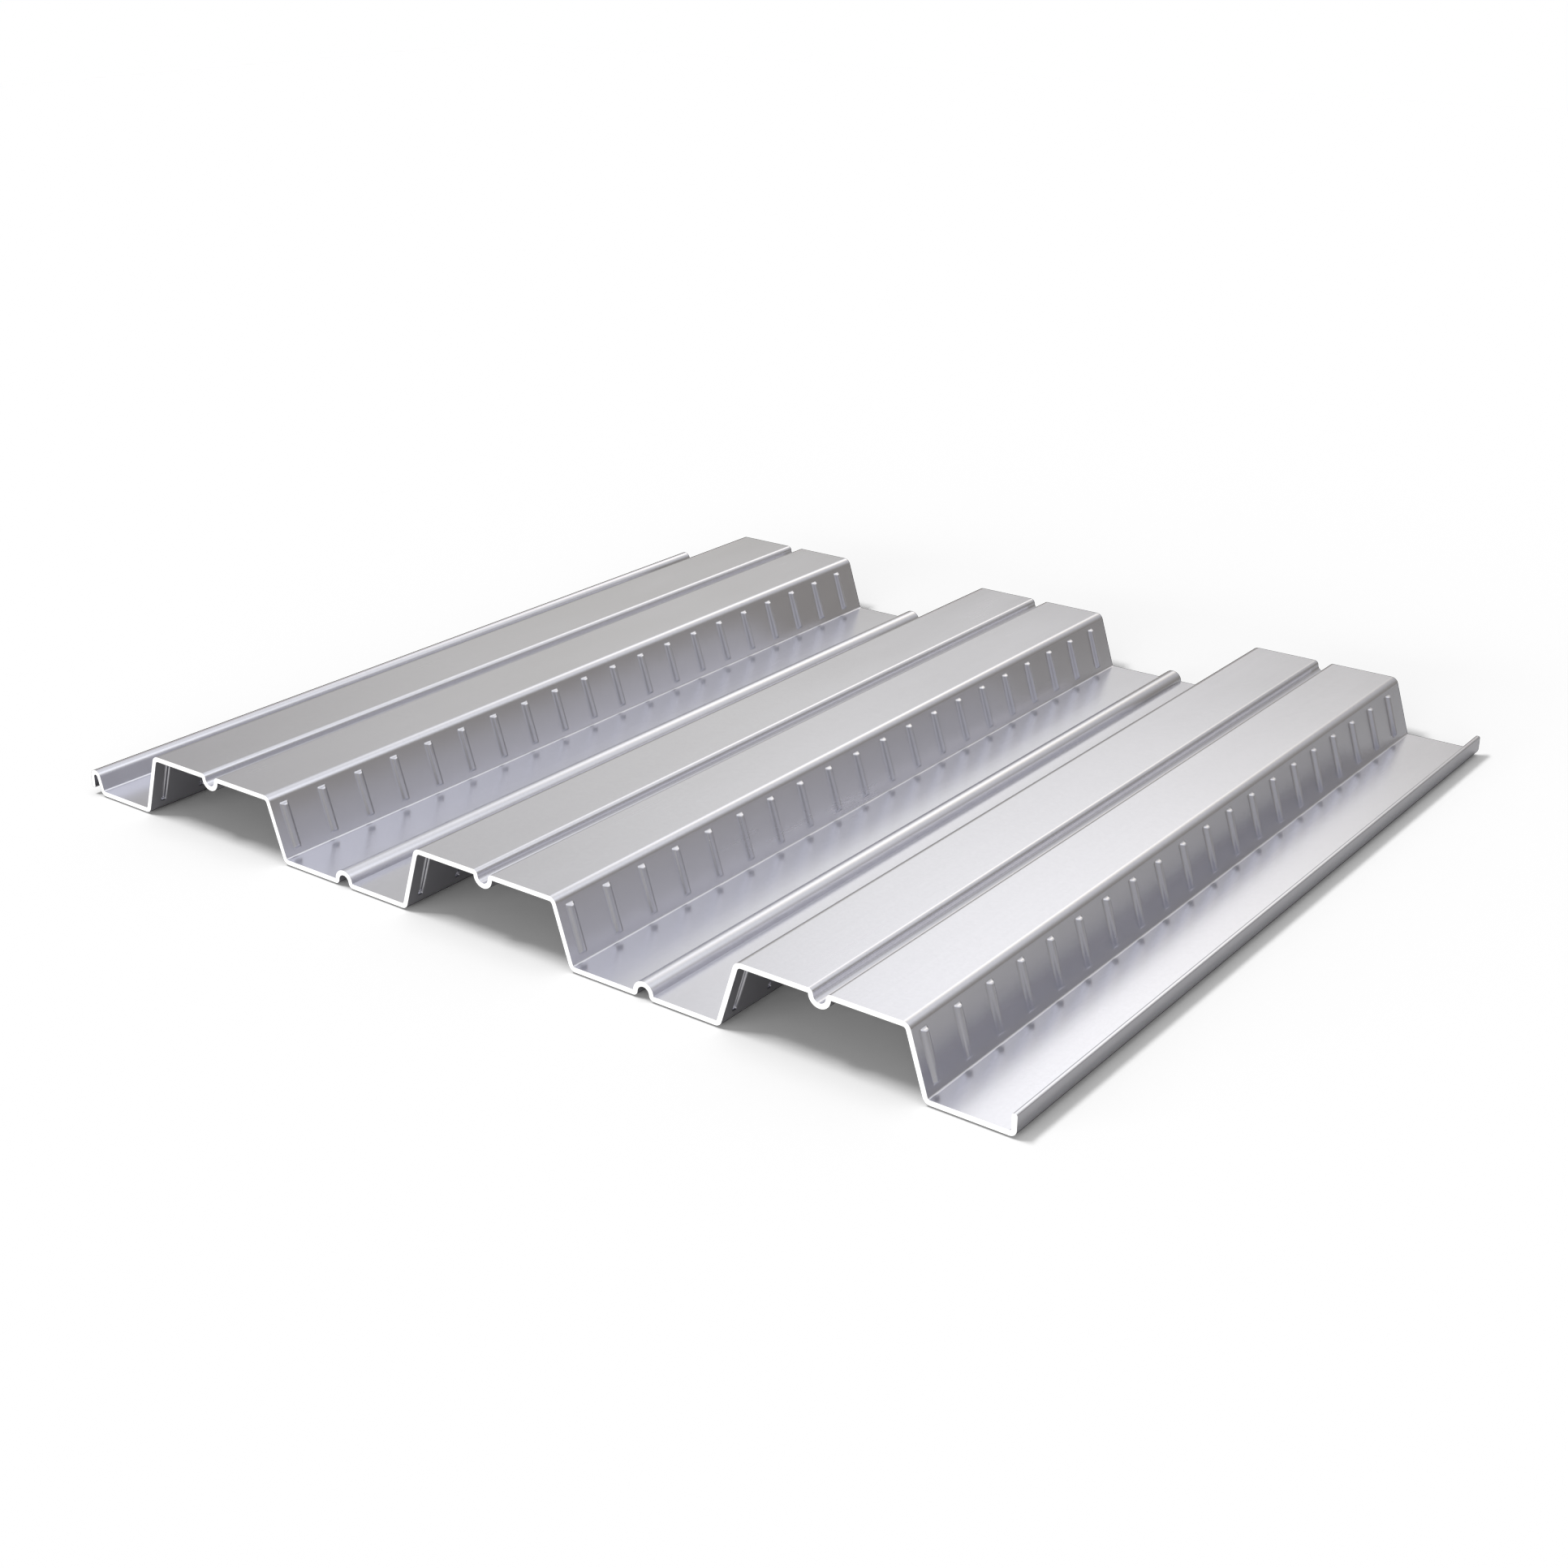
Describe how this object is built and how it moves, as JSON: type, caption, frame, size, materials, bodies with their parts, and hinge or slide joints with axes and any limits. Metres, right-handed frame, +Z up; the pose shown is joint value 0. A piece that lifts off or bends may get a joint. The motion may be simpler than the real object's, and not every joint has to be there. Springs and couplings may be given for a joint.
{
  "type": "steel floor decking sheet",
  "caption": "Roll-formed composite floor deck sheet: trapezoidal ribs, grooved crowns, beaded troughs, embossed webs and hook-and-lip side laps.",
  "frame": {"origin": "middle of the sheet's footprint, level with the underside of the troughs", "axes": "+X across the ribs, from the hook to the lip; +Y along the ribs; +Z up, from the troughs to the crowns"},
  "size_m": [0.9226, 0.8, 0.0548],
  "materials": {
    "galvanised_steel": "satin galvanised"
  },
  "bodies": {
    "root": {"deck_sheet": "galvanised_steel"}
  },
  "joints": []
}
